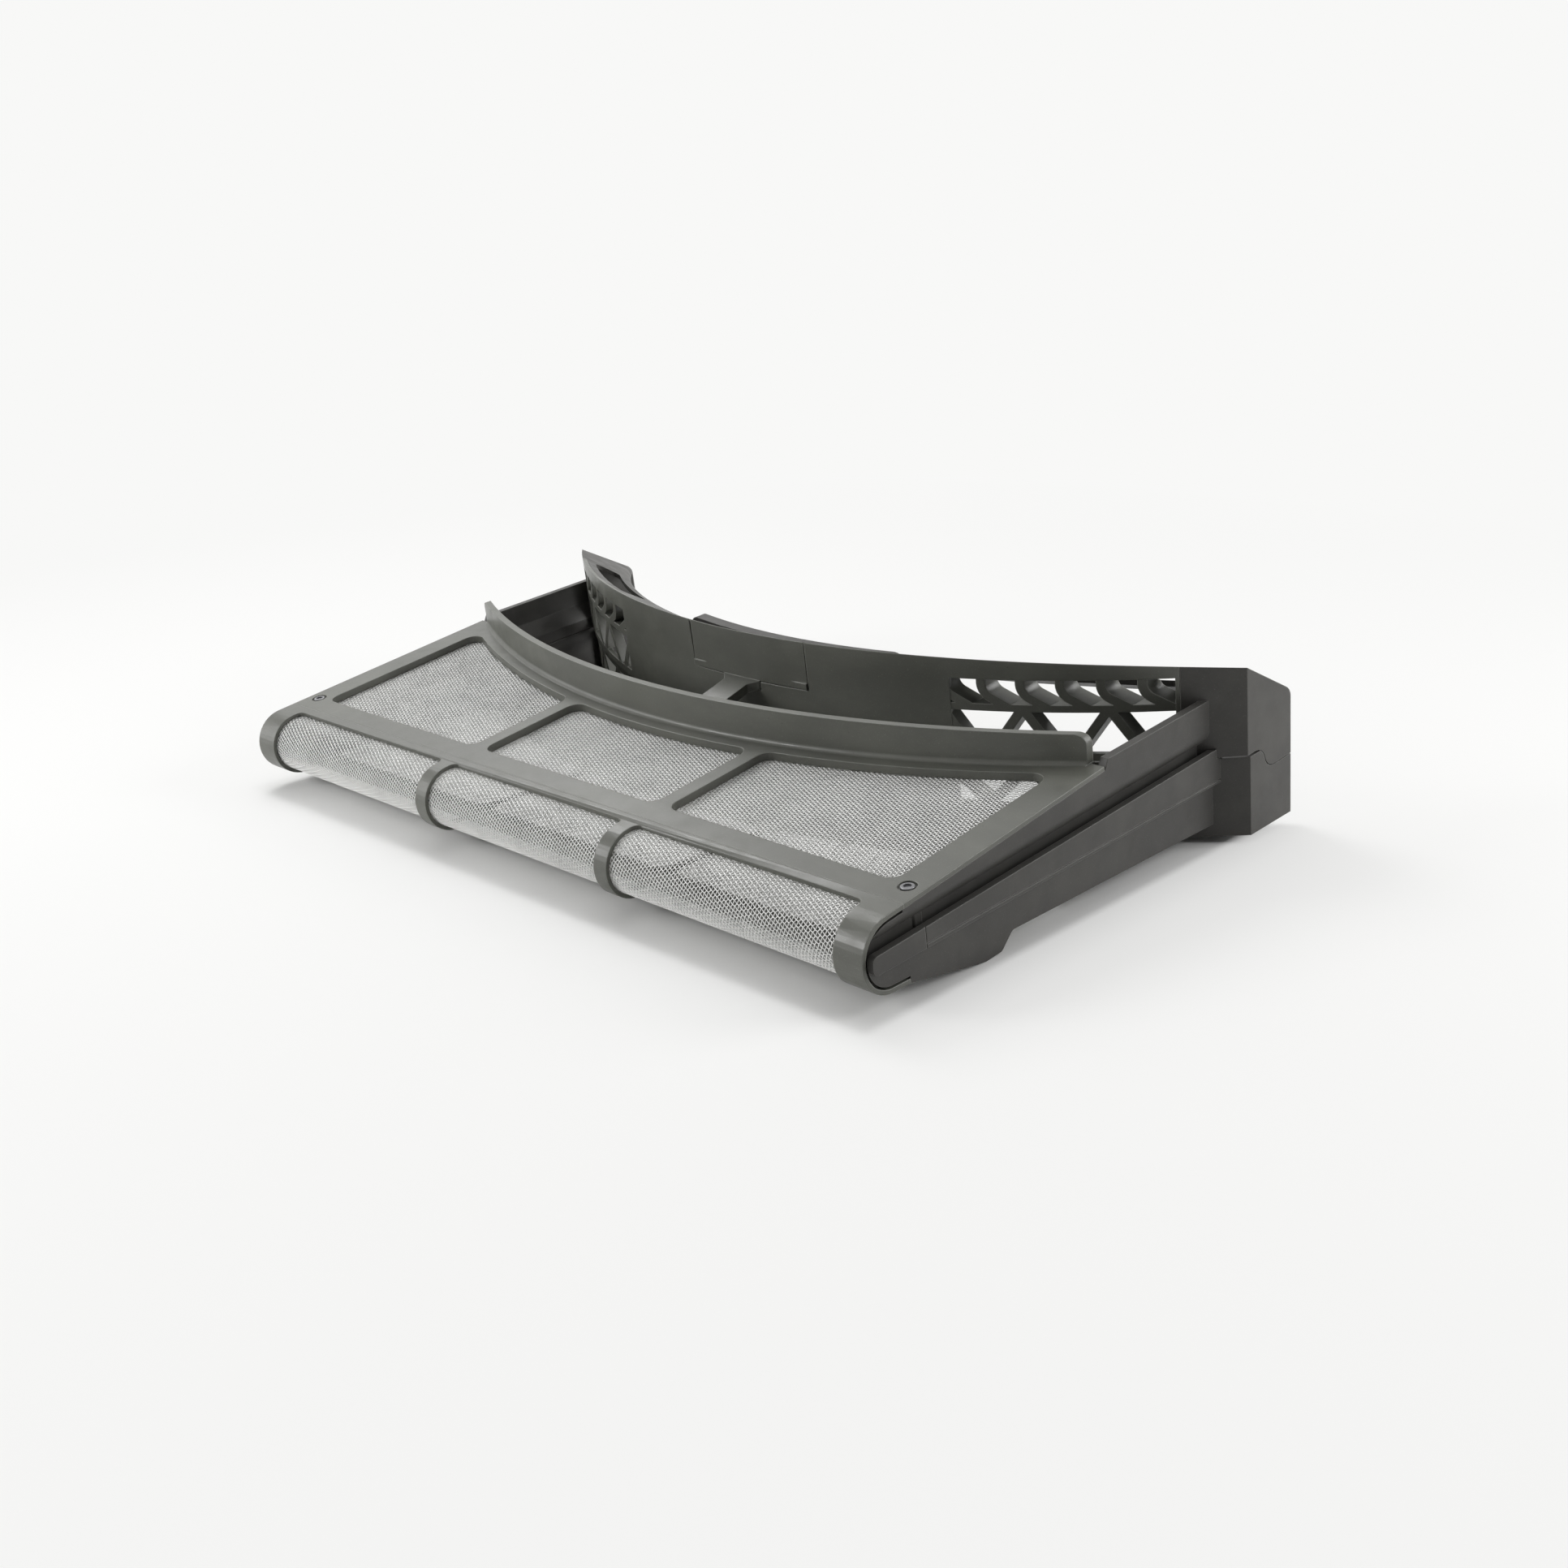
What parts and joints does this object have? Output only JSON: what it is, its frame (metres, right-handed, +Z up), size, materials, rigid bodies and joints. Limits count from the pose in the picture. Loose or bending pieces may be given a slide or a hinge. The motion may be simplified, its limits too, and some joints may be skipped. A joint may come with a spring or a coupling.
{
  "type": "tumble dryer lint filter",
  "caption": "Wedge-shaped lint filter with mesh windows in two halves that open at a flexible nose, a curved grilled mouth, guide rails and a latch.",
  "frame": {"origin": "middle of the bounding box on the table the filter lies on", "axes": "X across the filter, +Y from the nose to the mouth, +Z up, with the filter lying on its feet and the front edge of its mouth"},
  "size_m": [0.3604, 0.2188, 0.0673],
  "materials": {
    "olive_plastic": "fine satin texture, olive grey",
    "grey_plastic": "fine satin texture, dark grey",
    "mesh": "silvery woven filament mesh",
    "steel": "dark plated"
  },
  "bodies": {
    "lower_half": {"lower_shell": "grey_plastic", "lower_frame": "olive_plastic", "lower_grille": "olive_plastic", "lower_mesh_left": "mesh", "lower_mesh_middle": "mesh", "lower_mesh_right": "mesh", "lower_screw_left": "steel", "lower_screw_right": "steel", "nose_strip": "olive_plastic", "nose_mesh_left": "mesh", "nose_mesh_middle": "mesh", "nose_mesh_right": "mesh"},
    "upper_half": {"upper_shell": "grey_plastic", "upper_frame": "olive_plastic", "upper_grille": "olive_plastic", "upper_mesh_left": "mesh", "upper_mesh_middle": "mesh", "upper_mesh_right": "mesh", "upper_screw_left": "steel", "upper_screw_right": "steel"},
    "latch": {"latch_lever": "olive_plastic"}
  },
  "joints": [
    {"name": "halves_hinge", "type": "hinge", "parent": "lower_half", "child": "upper_half", "pos_m": [0, -0.1094, 0.0172], "axis": [1, 0, 0], "range_deg": [0, 90], "deforming": ["nose_strip", "nose_mesh_left", "nose_mesh_middle", "nose_mesh_right"]},
    {"name": "latch_press", "type": "hinge", "parent": "upper_half", "child": "latch", "pos_m": [0, 0.01697, 0.04768], "axis": [1, 0, 0], "range_deg": [-8, 0], "stiffness_Nm_per_rad": 0.3}
  ]
}
